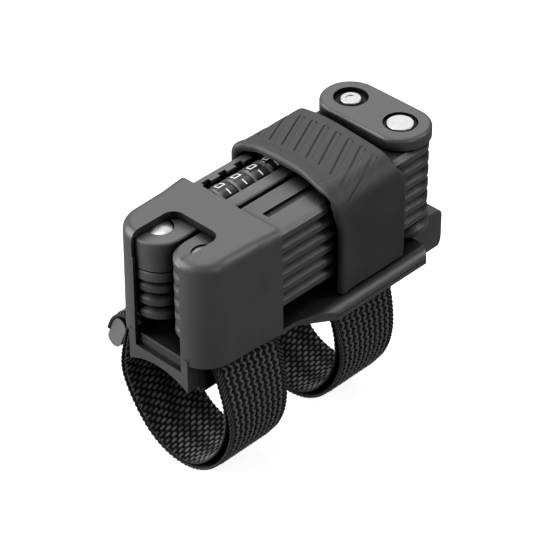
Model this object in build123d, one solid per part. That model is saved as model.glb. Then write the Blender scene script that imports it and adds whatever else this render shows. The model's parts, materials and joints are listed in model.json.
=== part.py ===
"""Folding bicycle lock stowed in its strap-on tube holder.

Frame: millimetres, +Z up. The origin lies on the axis of the bicycle tube that the two
straps clamp, midway between the straps. X runs along the tube and along the folded
lock. The holder cup is at -X and the pull-out end at +X. The lock case column is on +Y
and the column of folded links on -Y.
"""

import os
from math import cos, radians, sin

from build123d import *

# ---------------------------------------------------------------- driving dimensions
TUBE_R = 19.0            # radius of the bicycle tube
PITCH = 5.0              # height of one link layer
GAP = 0.05               # clearance on each side of a layer
STACK_Z = 34.0           # underside of the lowest link layer
NEAR_X = -33.0           # rivet axes at the cup end
FAR_X = 54.0             # rivet axes at the pull-out end
COL_Y = 9.7              # half the distance between the two columns
LINK_W = 18.9            # width of a link
EDGE = 1.5               # chamfer along every link edge
PLATE_EXTRA = 1.2        # how much wider the bottom plate is than a link
GROOVE_X0 = -7.0         # groove along the top link, and where it opens into a pocket
GROOVE_X1 = 9.0
GROOVE_X2 = 42.0
GROOVE_Y = (-8.2, -9.3, -11.0)  # groove wall, end of its flat floor, end of its slope
GROOVE_DEPTH = 0.9
HEAD_ROUND = 0.3         # rounding of a flat rivet head's rim
SKIN = 1.0               # plastic over a steel core
CORE_W = 12.4            # width of a steel core

SHANK_R = 2.9            # rivet shank
HEAD_R = 4.1             # rivet head
HEAD_H = 0.9             # rivet head height
DOME_RISE = 0.8          # height of the dome on the two heads inside the cup
DOME_PROUD = 0.2         # how far a dome stands above its plate
RUN = 0.05               # radial running clearance of every shaft

END_R = 10.2             # radius of the end plate's two rounded ends
STUD_Y = 11.6            # locking stud axis on the end plate
STUD_R = 2.0
STUD_FOOT_Z = 59.3

CASE_SPLIT_Z = 53.0      # joint line between the two case shells
DIAL_COUNT = 4
DIAL_X0 = -5.2           # first dial
DIAL_STEP = 7.05
DIAL_R = 6.5
DIAL_W = 5.7
DIAL_Y = 10.2
DIAL_Z = 57.6
FLUTE_ANGLE = 34.0       # of the first finger flute, from straight up toward +Y
NOTCH_W = 3.2            # thumb notches in the window's outer edge, one per dial
NOTCH_END = 6.7
SPINDLE_R = 1.9
BAY_END = 4.1            # bay wall beyond the outer dial centres

BOLT_TIP_X = 50.9        # withdrawn bolt tip
BOLT_Y = 7.8
BOLT_W = 2.8
BOLT_Z = 60.2
BOLT_H = 2.6

FLOOR_TOP = 28.8
FLOOR_T = 1.6
FLOOR_HALF_W = 21.3
CUP_FRONT_X = -44.5
CUP_MOUTH_X = -12.6
CUP_TOP_Z = 66.8
CUP_SIDE_Z = 28.5        # lower edge of the cup's sides
CUP_CAVITY_TOP = 64.3
WINDOW_HALF = 10.0
WINDOW_Z = 24.8
NOTCH_X = -26.3
FOOT_HALF = 12.8
FOOT_Z = 18.1
FOOT_BACK_X = -39.75
FOOT_ARCH = 3.6          # rise of the arch under the cup's foot
CUP_SCREW_X = -41.4
CUP_SCREW_Y = 10.6
CUP_SCREW_R = 1.0
HEEL_X = 71.7            # far end of the heel at the pull-out end
HEEL_HALF = 13.5
HEEL_Z = 12.3
HEEL_T = 2.2

BOW_X = -6.0             # where the rail's taper starts
WING_X0 = 9.0            # where the rail reaches its full width
WING_X1 = 52.0
WING_HALF = 26.0
WING_Z = 23.8
BEAD_R = 3.4             # rounding of the rail's top edge
LINE_Z = 25.4            # fine groove under the bead
LINE_W = 0.3
LINE_DEPTH = 0.4

STRAP_W = 24.0
STRAP_X = (-25.0, 24.5)  # strap centres
STRAP_T = 2.4
STRAP_IN_R = 19.1
STRAP_TOP = 27.0
STRAP_HALF = 24.2
SHOULDER_Y = 21.6        # where a strap turns in under the base
SHOULDER_Z = 23.0
SLOT_END_Y = 24.8        # outer end of the slots that pass the straps
WRAP = 46.0              # half angle of the arc that hugs the tube, in degrees
PAD_T = 1.5
TUBE_ROOM = 0.4          # room between the tube and the hard plastic around it

BAND_X0 = 10.0
BAND_X1 = 40.0
BAND_T = 3.0
BAND_IN_Y = 19.7
BAND_IN_Z = 64.35
BAND_LIFT = 1.2          # crown of the band's top
BAND_SHOULDER = 7.5      # outer rounding of its right upper corner
BAND_LEFT_SHOULDER = 4.5
PIN_R = 1.2

COLUMN = {"left": COL_Y, "right": -COL_Y}
END_X = {"near": NEAR_X, "far": FAR_X}

os.makedirs("parts", exist_ok=True)


# ---------------------------------------------------------------- helpers
def save(name, *solids):
    shape = solids[0] if len(solids) == 1 else Compound(children=list(solids))
    export_step(shape, f"parts/{name}.step")


def block(x0, x1, y0, y1, z0, z1):
    """A box given by its limits."""
    centre = Pos((x0 + x1) / 2, (y0 + y1) / 2, (z0 + z1) / 2)
    return centre * Box(x1 - x0, y1 - y0, z1 - z0)


def disc(x, y, z0, z1, radius):
    """An upright cylinder."""
    return Pos(x, y, (z0 + z1) / 2) * Cylinder(radius, z1 - z0)


def rod(x0, x1, y, z, radius):
    """A cylinder along X."""
    return Pos((x0 + x1) / 2, y, z) * Rot(0, 90, 0) * Cylinder(radius, x1 - x0)


def section(points, x0, x1):
    """A Y-Z outline pushed along X."""
    outline = make_face(Polyline(*[(x0, y, z) for y, z in points], close=True))
    return extrude(outline, amount=x1 - x0, dir=(1, 0, 0))


def bar(centre, span, width, z0, z1, turn=0):
    """A flat bar with round ends."""
    outline = Pos(centre[0], centre[1], z0) * Rot(0, 0, turn) * SlotCenterToCenter(span, width)
    return extrude(outline, amount=z1 - z0, dir=(0, 0, 1))


def soften(solid, size):
    """Chamfers the top and bottom rims of a flat bar."""
    rims = solid.edges().group_by(Axis.Z)
    return chamfer(rims[0] + rims[-1], size)


def layer(level):
    """Lower and upper face of a link layer."""
    return STACK_Z + PITCH * level + GAP, STACK_Z + PITCH * (level + 1) - GAP


def pivot_holes(x, y, level, heads):
    """Rivet hole through a layer, sunk on the faces named in heads."""
    z0, z1 = layer(level)
    cut = disc(x, y, z0 - 1, z1 + 1, SHANK_R + RUN)
    if "top" in heads:
        cut += disc(x, y, z1 - HEAD_H - GAP, z1 + 1, HEAD_R + RUN)
    if "bottom" in heads:
        cut += disc(x, y, z0 - 1, z0 + HEAD_H + GAP, HEAD_R + RUN)
    return cut


def domed_head(x, y, z0, z1):
    """Rivet head whose top is a shallow dome."""
    dome_r = (HEAD_R ** 2 + DOME_RISE ** 2) / (2 * DOME_RISE)
    return disc(x, y, z0, z1, HEAD_R) & (Pos(x, y, z1 - dome_r) * Sphere(dome_r))


def rivet(x, y, low_level, domed=False):
    """Rivet that joins a layer to the one above it, both heads sunk."""
    z0 = layer(low_level)[0] + GAP
    z1 = layer(low_level + 1)[1] - GAP
    shank = disc(x, y, z0, z1 - HEAD_H / 2, SHANK_R)
    foot = disc(x, y, z0, z0 + HEAD_H, HEAD_R)
    head = disc(x, y, z1 - HEAD_H, z1, HEAD_R)
    head = fillet(head.edges().group_by(Axis.Z)[-1], HEAD_ROUND)
    if domed:
        head = domed_head(x, y, z1 - HEAD_H, z1 + DOME_PROUD)
    return shank + foot + head


# ---------------------------------------------------------------- folding links
def link(column, level, near_head, far_head):
    """One link: its plastic cover and its steel core."""
    y = COLUMN[column]
    centre = ((NEAR_X + FAR_X) / 2, y)
    span = FAR_X - NEAR_X
    z0, z1 = layer(level)
    holes = pivot_holes(NEAR_X, y, level, near_head) + pivot_holes(FAR_X, y, level, far_head)
    core = bar(centre, span, CORE_W, z0 + SKIN, z1 - SKIN) - holes
    pocket = bar(centre, span, CORE_W + 2 * GAP, z0 + SKIN - GAP / 2, z1 - SKIN + GAP / 2)
    cover = soften(bar(centre, span, LINK_W, z0, z1), EDGE) - pocket - holes
    return cover, core


def top_link():
    """The uppermost link carries a stepped groove along its top."""
    cover, core = link("right", 5, "top", "bottom")
    z1 = layer(5)[1]
    wall, floor, slope = GROOVE_Y
    low = z1 - GROOVE_DEPTH
    groove = [(wall, z1 + 1), (wall, low), (floor, low), (slope, z1), (slope, z1 + 1)]
    cover -= section(groove, GROOVE_X0, GROOVE_X2)
    return cover - block(GROOVE_X1, GROOVE_X2, slope, wall, low, z1 + 1), core


def crossover():
    """Bottom plate that joins the two columns at the pull-out end."""
    z0, z1 = layer(-1)
    holes = pivot_holes(FAR_X, COL_Y, -1, "bottom") + pivot_holes(FAR_X, -COL_Y, -1, "bottom")
    core = bar((FAR_X, 0), 2 * COL_Y, CORE_W, z0 + SKIN, z1 - SKIN, 90) - holes
    pocket = bar((FAR_X, 0), 2 * COL_Y, CORE_W + 2 * GAP, z0 + SKIN - GAP / 2, z1 - SKIN + GAP / 2, 90)
    plate = soften(bar((FAR_X, 0), 2 * COL_Y, LINK_W + PLATE_EXTRA, z0, z1, 90), EDGE)
    return plate - pocket - holes, core


END_HEAD_R = 4.45        # bright rivet head on the end plate
END_SINK_R = 5.75        # recess around it
STUD_SINK_R = 5.8
STUD_HEAD_R = 3.5
STUD_SINK = 1.6
DIMPLE_R = 1.7           # turned dimple in the stud's head
DIMPLE_DEPTH = 0.3
PLATE_ROUND = 1.4        # rounding of the end plate's top rim
PLATE_CHAMFER = 0.6      # chamfer of its bottom rim
PLATE_ROOF = 0.2         # plastic left between the stud's recess and the core


def end_plate():
    """Top plate that reaches from the last link over to the lock case."""
    z0, z1 = layer(6)
    middle = (FAR_X, (STUD_Y - COL_Y) / 2)
    span = STUD_Y + COL_Y
    plate = bar(middle, span, 2 * END_R, z0, z1, 90)
    plate = fillet(plate.edges().group_by(Axis.Z)[-1], PLATE_ROUND)
    plate = chamfer(plate.edges().group_by(Axis.Z)[0], PLATE_CHAMFER)
    holes = disc(FAR_X, -COL_Y, z0 - 1, z1 + 1, SHANK_R + RUN)
    holes += disc(FAR_X, -COL_Y, z1 - HEAD_H - GAP, z1 + 1, END_SINK_R)
    holes += disc(FAR_X, STUD_Y, z0 - 1, z1 + 1, STUD_R + RUN)
    holes += disc(FAR_X, STUD_Y, z1 - STUD_SINK, z1 + 1, STUD_SINK_R)
    roof = z1 - STUD_SINK - PLATE_ROOF
    core = bar(middle, span, CORE_W, z0 + SKIN, roof, 90) - holes
    pocket = bar(middle, span, CORE_W + 2 * GAP, z0 + SKIN - GAP / 2, roof + GAP / 2, 90)
    return plate - pocket - holes, core


def end_rivet():
    """Rivet of the end plate, with a wide bright head."""
    z0 = layer(5)[0] + GAP
    z1 = layer(6)[1] - 0.1
    head = disc(FAR_X, -COL_Y, z1 - HEAD_H + 0.1, z1, END_HEAD_R)
    head = fillet(head.edges().group_by(Axis.Z)[-1], 0.35)
    foot = disc(FAR_X, -COL_Y, z0, z0 + HEAD_H, HEAD_R)
    return disc(FAR_X, -COL_Y, z0, z1, SHANK_R) + foot + head


def stud():
    """Mushroom stud on the end plate that drops into the slot of the case."""
    z1 = layer(6)[1]
    shank = disc(FAR_X, STUD_Y, STUD_FOOT_Z, z1 - 0.6, STUD_R)
    shank = chamfer(shank.edges().group_by(Axis.Z)[0], 0.6)
    head = disc(FAR_X, STUD_Y, z1 - STUD_SINK + GAP, z1 - 0.3, STUD_HEAD_R)
    head = fillet(head.edges().group_by(Axis.Z)[-1], 0.5)
    head -= disc(FAR_X, STUD_Y, z1 - 0.3 - DIMPLE_DEPTH, z1, DIMPLE_R)
    return shank + head


# ---------------------------------------------------------------- lock case
def dial_x(index):
    return DIAL_X0 + DIAL_STEP * index


BAY_X0 = DIAL_X0 - BAY_END
BAY_X1 = DIAL_X0 + DIAL_STEP * (DIAL_COUNT - 1) + BAY_END
SCREW_SPOTS = [(-20.0, 4.2), (-20.0, 15.2), (38.0, 4.2), (38.0, 15.2)]
CASE_Z0 = layer(3)[0]
CASE_Z1 = layer(5)[1]
CASE_HEAD_SINK = 4.55
CASE_HEAD_DEPTH = 1.3
CASE_SEAM = 0.2          # half the shadow gap between the two shells
BOLT_CHANNEL_END = 58.5
STUD_SLOT_SPARE = 0.95   # room around the stud in its slot
LIP_T = 1.2              # thickness of the window's rim above the dials
LIP_HALF = 5.3           # half width of the window
CASE_SCREW_R = 1.2
CASE_SCREW_HEAD_R = 2.2
CASE_SCREW_HEAD_H = 1.4
BAY_FLOOR = 50.7


def case_bolt_channel():
    half = BOLT_W / 2 + GAP
    low = BOLT_Z - BOLT_H / 2 - GAP
    high = BOLT_Z + BOLT_H / 2 + GAP
    return block(BAY_X1 + 2.0, BOLT_CHANNEL_END, BOLT_Y - half, BOLT_Y + half, low, high)


def stud_slot():
    """Slot for the stud, open toward the link column."""
    half = STUD_R + STUD_SLOT_SPARE
    slot = block(FAR_X - half, FAR_X + half, -1, STUD_Y, STUD_FOOT_Z - 0.5, CASE_Z1 + 1)
    slot += disc(FAR_X, STUD_Y, STUD_FOOT_Z - 0.5, CASE_Z1 + 1, half)
    mouth = Pos(FAR_X, -1.0, CASE_Z1) * Rot(0, 0, 45) * Box(9, 9, 2 * (CASE_Z1 - STUD_FOOT_Z))
    return slot + mouth


def case_block(z0, z1):
    return bar(((NEAR_X + FAR_X) / 2, COL_Y), FAR_X - NEAR_X, LINK_W, z0, z1)


def case_top():
    shell = case_block(CASE_SPLIT_Z + CASE_SEAM, CASE_Z1)
    shell = fillet(shell.edges().group_by(Axis.Z)[-1], 0.8)
    shell = chamfer(shell.edges().group_by(Axis.Z)[0], 0.3)
    bay_half = DIAL_R + 0.35
    shell -= block(BAY_X0, BAY_X1, DIAL_Y - bay_half, DIAL_Y + bay_half, 50, CASE_Z1 - LIP_T)
    shell -= block(BAY_X0, BAY_X1, DIAL_Y - LIP_HALF, DIAL_Y + LIP_HALF, 50, CASE_Z1 + 1)
    for index in range(DIAL_COUNT):
        x = dial_x(index) - 1.6
        shell -= block(x - NOTCH_W / 2, x + NOTCH_W / 2, DIAL_Y + 5.2, DIAL_Y + NOTCH_END, 60, CASE_Z1 + 1)
    shell -= rod(BAY_X0 - 2.5, BAY_X1 + 1.5, DIAL_Y, DIAL_Z, SPINDLE_R + RUN)
    shell -= stud_slot()
    shell -= case_bolt_channel()
    shell -= disc(NEAR_X, COL_Y, 50, CASE_Z1 + 1, SHANK_R + RUN)
    shell -= disc(NEAR_X, COL_Y, CASE_Z1 - CASE_HEAD_DEPTH, CASE_Z1 + 1, CASE_HEAD_SINK)
    for x, y in SCREW_SPOTS:
        shell -= disc(x, y, 50, 60, CASE_SCREW_R + RUN)
    return shell


def case_bottom():
    shell = case_block(CASE_Z0, CASE_SPLIT_Z - CASE_SEAM)
    shell = chamfer(shell.edges().group_by(Axis.Z)[0], 0.5)
    shell = chamfer(shell.edges().group_by(Axis.Z)[-1], 0.3)
    shell -= block(BAY_X0, BAY_X1, DIAL_Y - 5.2, DIAL_Y + 5.2, BAY_FLOOR, 60)
    shell -= disc(NEAR_X, COL_Y, CASE_Z0 - 1, 60, SHANK_R + RUN)
    for x, y in SCREW_SPOTS:
        shell -= disc(x, y, CASE_Z0 - 1, 60, CASE_SCREW_R + RUN)
        shell -= disc(x, y, CASE_Z0 - 1, CASE_Z0 + CASE_SCREW_HEAD_H, CASE_SCREW_HEAD_R + RUN)
    return shell


def case_rivet():
    """Long rivet that hangs the first link under the case."""
    z0 = layer(2)[0] + GAP
    z1 = CASE_Z1 + DOME_PROUD
    head = domed_head(NEAR_X, COL_Y, CASE_Z1 - CASE_HEAD_DEPTH + GAP, z1)
    foot = disc(NEAR_X, COL_Y, z0, z0 + HEAD_H, HEAD_R)
    return disc(NEAR_X, COL_Y, z0, z1 - DOME_RISE, SHANK_R) + foot + head


def case_screw(x, y):
    head = disc(x, y, CASE_Z0 + 0.2, CASE_Z0 + CASE_SCREW_HEAD_H - GAP, CASE_SCREW_HEAD_R)
    return disc(x, y, CASE_Z0 + 0.2, 59.8, CASE_SCREW_R) + head


def dial(index):
    """Number ring with ten finger flutes between its ten digits."""
    x = dial_x(index)
    ring = rod(x - DIAL_W / 2, x + DIAL_W / 2, DIAL_Y, DIAL_Z, DIAL_R)
    ring = chamfer(ring.edges().group_by(Axis.X)[0] + ring.edges().group_by(Axis.X)[-1], 0.35)
    ring -= rod(x - DIAL_W, x + DIAL_W, DIAL_Y, DIAL_Z, SPINDLE_R + RUN)
    for step in range(10):
        angle = radians(36 * step + FLUTE_ANGLE)
        y = DIAL_Y + (DIAL_R + 0.25) * sin(angle)
        z = DIAL_Z + (DIAL_R + 0.25) * cos(angle)
        ring -= rod(x - DIAL_W, x + DIAL_W, y, z, 0.7)
    return ring


def spacer(x):
    """Thin arched divider between two dials."""
    disc_part = rod(x - 0.45, x + 0.45, DIAL_Y, DIAL_Z, DIAL_R + 0.1)
    disc_part &= block(x - 1, x + 1, DIAL_Y - 5.15, DIAL_Y + 5.15, BAY_FLOOR + 0.1, 70)
    return disc_part - rod(x - 1, x + 1, DIAL_Y, DIAL_Z, SPINDLE_R + RUN)


def spindle():
    return rod(BAY_X0 - 2.4, BAY_X1 + 1.4, DIAL_Y, DIAL_Z, SPINDLE_R)


def detent_spring():
    """Leaf with one finger below each dial."""
    leaf_z = BAY_FLOOR + 0.1
    leaf = block(BAY_X0 + 0.2, BAY_X1 - 0.2, DIAL_Y + 3.6, DIAL_Y + 5.0, leaf_z, leaf_z + 0.3)
    for index in range(DIAL_COUNT):
        x = dial_x(index)
        leaf += block(x - 1.2, x + 1.2, DIAL_Y + 1.0, DIAL_Y + 3.6, leaf_z - 0.05, leaf_z + 0.15)
    return leaf


def locking_bolt():
    x0 = BAY_X1 + 2.4
    bolt = block(x0, BOLT_TIP_X, BOLT_Y - BOLT_W / 2, BOLT_Y + BOLT_W / 2,
                 BOLT_Z - BOLT_H / 2, BOLT_Z + BOLT_H / 2)
    return chamfer(bolt.edges().group_by(Axis.X)[-1], 0.4)


# ---------------------------------------------------------------- holder
SCREW_HEAD_Z = FOOT_Z + 2.4
SCREW_HEAD_H = 1.2
SCREW_HEAD_R = 1.5
MOUTH_SPARE = 6.0        # the cup is drawn this much longer, then trimmed at its mouth
CORNER_X = -33.5         # centres of the cup's two round corners
CORNER_R = 11.0
FLARE_X = -21.6          # where the cup starts to widen toward its mouth
FLARE_Y = 21.4
MOUTH_Y = 23.3
CUP_TAPER = 0.6          # draft of its sides, in degrees
CUP_ROUND = 3.2          # rounding of its top rim
CUP_WALL = 1.35
FACE_T = 1.7             # thickness of the wall around the window
NOTCH_ROUND = 4.0


def cup_outline(grow):
    """Plan of the cup, wider toward its mouth; grow moves it outward."""
    corner_y = COL_Y + 0.2
    radius = CORNER_R + grow
    side = corner_y + radius
    flare = FLARE_Y + grow
    mouth_x, mouth = CUP_MOUTH_X + MOUTH_SPARE, MOUTH_Y + grow
    points = Polyline((CORNER_X, -side), (FLARE_X, -flare), (mouth_x, -mouth),
                      (mouth_x, mouth), (FLARE_X, flare), (CORNER_X, side))
    start = CenterArc((CORNER_X, corner_y), radius, 90, 90)
    front = Line((CORNER_X - radius, corner_y), (CORNER_X - radius, -corner_y))
    finish = CenterArc((CORNER_X, -corner_y), radius, 180, 90)
    return make_face(Curve() + [points, start, front, finish])


def holder_cup():
    outer = Pos(0, 0, CUP_SIDE_Z) * cup_outline(0)
    shell = extrude(outer, amount=CUP_TOP_Z - CUP_SIDE_Z, taper=CUP_TAPER)
    shell = fillet(shell.edges().group_by(Axis.Z)[-1], CUP_ROUND)
    shell -= block(CUP_MOUTH_X, CUP_MOUTH_X + 2 * MOUTH_SPARE, -30, 30, 20, 80)
    cavity = Pos(0, 0, 20) * cup_outline(-CUP_WALL)
    cavity = extrude(cavity, amount=CUP_CAVITY_TOP - 20)
    foot = block(CUP_FRONT_X, FOOT_BACK_X, -FOOT_HALF, FOOT_HALF, FOOT_Z, FLOOR_TOP - FLOOR_T - 0.1)
    face = block(CUP_FRONT_X, CUP_FRONT_X + FACE_T, -FOOT_HALF, FOOT_HALF, FOOT_Z, CUP_SIDE_Z + 2)
    shell = (shell - cavity) + foot + face
    arch_r = (FOOT_HALF ** 2 + FOOT_ARCH ** 2) / (2 * FOOT_ARCH)
    shell -= rod(CUP_FRONT_X - 1, FOOT_BACK_X + 1, 0, FOOT_Z + FOOT_ARCH - arch_r, arch_r)
    notch = block(CUP_FRONT_X - 5, NOTCH_X, -WINDOW_HALF - 0.4, WINDOW_HALF + 0.4, 58, 75)
    corners = notch.edges().filter_by(Axis.Z).group_by(Axis.X)[-1]
    shell -= fillet(corners, NOTCH_ROUND)
    shell -= block(CUP_FRONT_X - 5, CUP_FRONT_X + FACE_T, -WINDOW_HALF, WINDOW_HALF, WINDOW_Z, 75)
    for y in (-CUP_SCREW_Y, CUP_SCREW_Y):
        shell -= disc(CUP_SCREW_X, y, 10, 30, CUP_SCREW_R + RUN)
        shell -= disc(CUP_SCREW_X, y, 10, SCREW_HEAD_Z + SCREW_HEAD_H + GAP, SCREW_HEAD_R + RUN)
    return shell


def cup_screw(y):
    head = disc(CUP_SCREW_X, y, SCREW_HEAD_Z, SCREW_HEAD_Z + SCREW_HEAD_H, SCREW_HEAD_R)
    return disc(CUP_SCREW_X, y, SCREW_HEAD_Z, FLOOR_TOP - 0.1, CUP_SCREW_R) + head


WING_IN = 18.5           # where the rails join the floor
HEEL_LOW_ROUND = 5.0
HEEL_TOP_ROUND = 2.6
RIB_T = 2.2              # ribs on each side of a strap
SADDLE_Z = 12.0


def wing(side):
    """Side rail with a rounded bead on top; its front end tapers like a bow."""
    low = FLOOR_TOP - FLOOR_T
    shape = block(BOW_X, WING_X1, WING_IN, WING_HALF, WING_Z, FLOOR_TOP)
    top_edge = shape.edges().filter_by(Axis.X).group_by(Axis.Z)[-1].sort_by(Axis.Y)[-1]
    shape = fillet(top_edge, BEAD_R)
    shape -= block(BOW_X - 1, WING_X1 + 1, WING_HALF - LINE_DEPTH, WING_HALF + 1, LINE_Z, LINE_Z + LINE_W)
    shape -= block(BOW_X - 1, WING_X1 + 1, WING_IN - 0.5, WING_IN + 1.5, WING_Z - 1, low)
    plan = [(BOW_X, WING_IN), (BOW_X, FLOOR_HALF_W), (WING_X0, WING_HALF), (WING_X1 - 2, WING_HALF),
            (WING_X1, WING_HALF - 3), (WING_X1, WING_IN)]
    outline = make_face(Polyline(*[(x, y, 20) for x, y in plan], close=True))
    shape &= extrude(outline, amount=10, dir=(0, 0, 1))
    keel = [(BOW_X, low), (WING_X0, WING_Z), (WING_X1, WING_Z), (WING_X1, 30), (BOW_X, 30)]
    outline = make_face(Polyline(*[(x, 15, z) for x, z in keel], close=True))
    shape &= extrude(outline, amount=15, dir=(0, 1, 0))
    return shape if side > 0 else mirror(shape, about=Plane.XZ)


def saddle(x):
    """Bridge under a strap: two ribs and the block that bears on the tube."""
    half = STRAP_W / 2 + 0.4
    low = FLOOR_TOP - FLOOR_T
    top = STRAP_TOP - STRAP_T - 0.2
    shape = block(x - half - RIB_T, x + half + RIB_T, -FOOT_HALF, FOOT_HALF, SADDLE_Z, top)
    for start in (x - half - RIB_T, x + half):
        shape += block(start, start + RIB_T, -FOOT_HALF, FOOT_HALF, SADDLE_Z, low + 0.5)
    return shape - rod(x - 30, x + 30, 0, 0, STRAP_IN_R + PAD_T + GAP)


def end_saddle():
    """Hollow heel that carries the base on the tube at the pull-out end."""
    heel = block(WING_X1 - 1, HEEL_X, -HEEL_HALF, HEEL_HALF, HEEL_Z, FLOOR_TOP - 0.2)
    low = heel.edges().filter_by(Axis.Y).group_by(Axis.Z)[0].sort_by(Axis.X)[-1]
    heel = fillet(low, HEEL_LOW_ROUND)
    high = heel.edges().filter_by(Axis.Y).group_by(Axis.Z)[-1].sort_by(Axis.X)[-1]
    heel = fillet(high, HEEL_TOP_ROUND)
    hollow = HEEL_HALF - HEEL_T
    heel -= block(WING_X1 - 2, HEEL_X - HEEL_T, -hollow, hollow, HEEL_Z - 1, FLOOR_TOP - FLOOR_T)
    return heel - rod(WING_X1 - 2, HEEL_X + 1, 0, 0, TUBE_R + TUBE_ROOM)


PIN_Y = 22.0
PIN_Z = 30.9
LUG_T = 3.0
LUG_R = 1.9


def band_ears():
    """Two lugs on the left rail that hold the band's pin."""
    ears = []
    for x in (BAND_X0 - 3.2, BAND_X1 + 0.2):
        lug = block(x, x + LUG_T, PIN_Y - LUG_R, PIN_Y + LUG_R, FLOOR_TOP - 0.6, PIN_Z)
        lug += rod(x, x + LUG_T, PIN_Y, PIN_Z, LUG_R)
        ears.append(lug - rod(x - 1, x + 4, PIN_Y, PIN_Z, PIN_R + RUN))
    return ears


def holder_base():
    low = FLOOR_TOP - FLOOR_T
    base = block(-42.65, -30.0, -FOOT_HALF + 0.1, FOOT_HALF - 0.1, low, FLOOR_TOP)
    base += block(-33.0, CUP_MOUTH_X + 1, -19.2, 19.2, low, FLOOR_TOP)
    base += block(CUP_MOUTH_X + 0.2, WING_X1, -FLOOR_HALF_W, FLOOR_HALF_W, low, FLOOR_TOP)
    for side in (-1, 1):
        base += wing(side)
    for x in STRAP_X:
        base += saddle(x)
    base += end_saddle()
    for ear in band_ears():
        base += ear
    half = STRAP_W / 2 + 0.4
    for side in (-1, 1):
        near, far = sorted((side * FOOT_HALF, side * SLOT_END_Y))
        base -= block(STRAP_X[1] - half, STRAP_X[1] + half, near, far, 20, low)
    for y in (-CUP_SCREW_Y, CUP_SCREW_Y):
        base -= disc(CUP_SCREW_X, y, 20, FLOOR_TOP - 0.05, CUP_SCREW_R + RUN)
    return base


def pad(x):
    """Rubber liner between a saddle and the tube."""
    shape = rod(x - STRAP_W / 2, x + STRAP_W / 2, 0, 0, STRAP_IN_R + PAD_T)
    shape -= rod(x - 20, x + 20, 0, 0, STRAP_IN_R)
    return shape & block(x - 20, x + 20, -FOOT_HALF + 0.4, FOOT_HALF - 0.4, 5, 30)


def strap_outline():
    """Outer Y-Z outline of a strap loop: tube arc, bulging sides, flat top."""
    radius = STRAP_IN_R + STRAP_T
    turn = radians(WRAP)
    arc_y, arc_z = radius * sin(turn), -radius * cos(turn)
    side_r = (STRAP_HALF - arc_y) / (1 - sin(turn))
    side_z = arc_z + side_r * cos(turn)
    flat = SHOULDER_Y - 4.0
    flare = TangentArc((0, arc_y, arc_z), (0, STRAP_HALF, side_z), tangent=(0, cos(turn), sin(turn)))
    close = TangentArc((0, STRAP_HALF, side_z), (0, SHOULDER_Y, SHOULDER_Z), tangent=(0, 0, 1))
    corner = TangentArc((0, SHOULDER_Y, SHOULDER_Z), (0, flat, STRAP_TOP), tangent=close % 1)
    right = [flare, close, corner]
    left = [mirror(edge, about=Plane.XZ) for edge in right]
    hug = ThreePointArc((0, -arc_y, arc_z), (0, 0, -radius), (0, arc_y, arc_z))
    lid = Line((0, flat, STRAP_TOP), (0, -flat, STRAP_TOP))
    return make_face(Curve() + [hug, lid] + right + left)


def strap(x):
    outer = strap_outline()
    inner = offset(outer, amount=-STRAP_T)
    ring = Pos(x - STRAP_W / 2, 0, 0) * (outer - inner)
    return extrude(ring, amount=STRAP_W, dir=(1, 0, 0))


TAB_R = 2.9              # half the thickness of the grip bar
TAB_LEAN = 22.0          # outward lean of the bar's section, in degrees
TAB_SPAN = 7.0           # distance between the centres of its two round edges
TAB_Y = 27.2             # middle of the section
TAB_Z = 15.9


def strap_tab(x):
    """Grip bar with a round-edged section at the free end of a strap."""
    x0, x1 = x - STRAP_W / 2, x + STRAP_W / 2
    dy = TAB_SPAN / 2 * sin(radians(TAB_LEAN))
    dz = TAB_SPAN / 2 * cos(radians(TAB_LEAN))
    grip = Pos(x, TAB_Y, TAB_Z) * Rot(TAB_LEAN, 0, 0) * Box(STRAP_W, 2 * TAB_R, TAB_SPAN)
    grip += rod(x0, x1, TAB_Y - dy, TAB_Z + dz, TAB_R)
    return grip + rod(x0, x1, TAB_Y + dy, TAB_Z - dz, TAB_R)


# ---------------------------------------------------------------- rubber band
def band_profile(low):
    """Outer minus inner outline of the band, from its left foot to its right foot."""
    out_y = BAND_IN_Y + BAND_T
    top = BAND_IN_Z + BAND_T
    outer = block(BAND_X0, BAND_X1, -out_y, out_y, low, top + BAND_LIFT)
    for side, radius in ((0, BAND_SHOULDER), (-1, BAND_LEFT_SHOULDER)):
        top_edges = outer.edges().filter_by(Axis.X).group_by(Axis.Z)[-1].sort_by(Axis.Y)
        outer = fillet(top_edges[side], radius)
    inner = block(BAND_X0 - 1, BAND_X1 + 1, -BAND_IN_Y, BAND_IN_Y, low - 1, BAND_IN_Z)
    inner = fillet(inner.edges().filter_by(Axis.X).group_by(Axis.Z)[-1], 1.2)
    return outer - inner


LEFT_CUT_Y = 19.0
RIGHT_CUT_Z = 62.0
SPLIT = 0.1


def band_top():
    ring = band_profile(FLOOR_TOP + 0.3)
    return ring & block(0, 60, -30, LEFT_CUT_Y - SPLIT, RIGHT_CUT_Z, 80)


def band_left():
    ring = band_profile(FLOOR_TOP + 4)
    leg = ring & block(0, 60, 15, 30, 20, 80)
    leg -= block(0, 60, 0, LEFT_CUT_Y, RIGHT_CUT_Z, 80)
    eye = rod(BAND_X0, BAND_X1, PIN_Y - 0.4, PIN_Z, 1.9) + block(BAND_X0, BAND_X1, 19.9, 22.6, PIN_Z, 34)
    return (leg + eye) - rod(BAND_X0 - 1, BAND_X1 + 1, PIN_Y, PIN_Z, PIN_R + RUN)


def band_right():
    ring = band_profile(FLOOR_TOP + 0.3)
    return ring & block(0, 60, -30, -15, 20, RIGHT_CUT_Z - SPLIT)


def band_pin():
    return rod(BAND_X0 - 3.4, BAND_X1 + 3.4, PIN_Y, PIN_Z, PIN_R)


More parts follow.
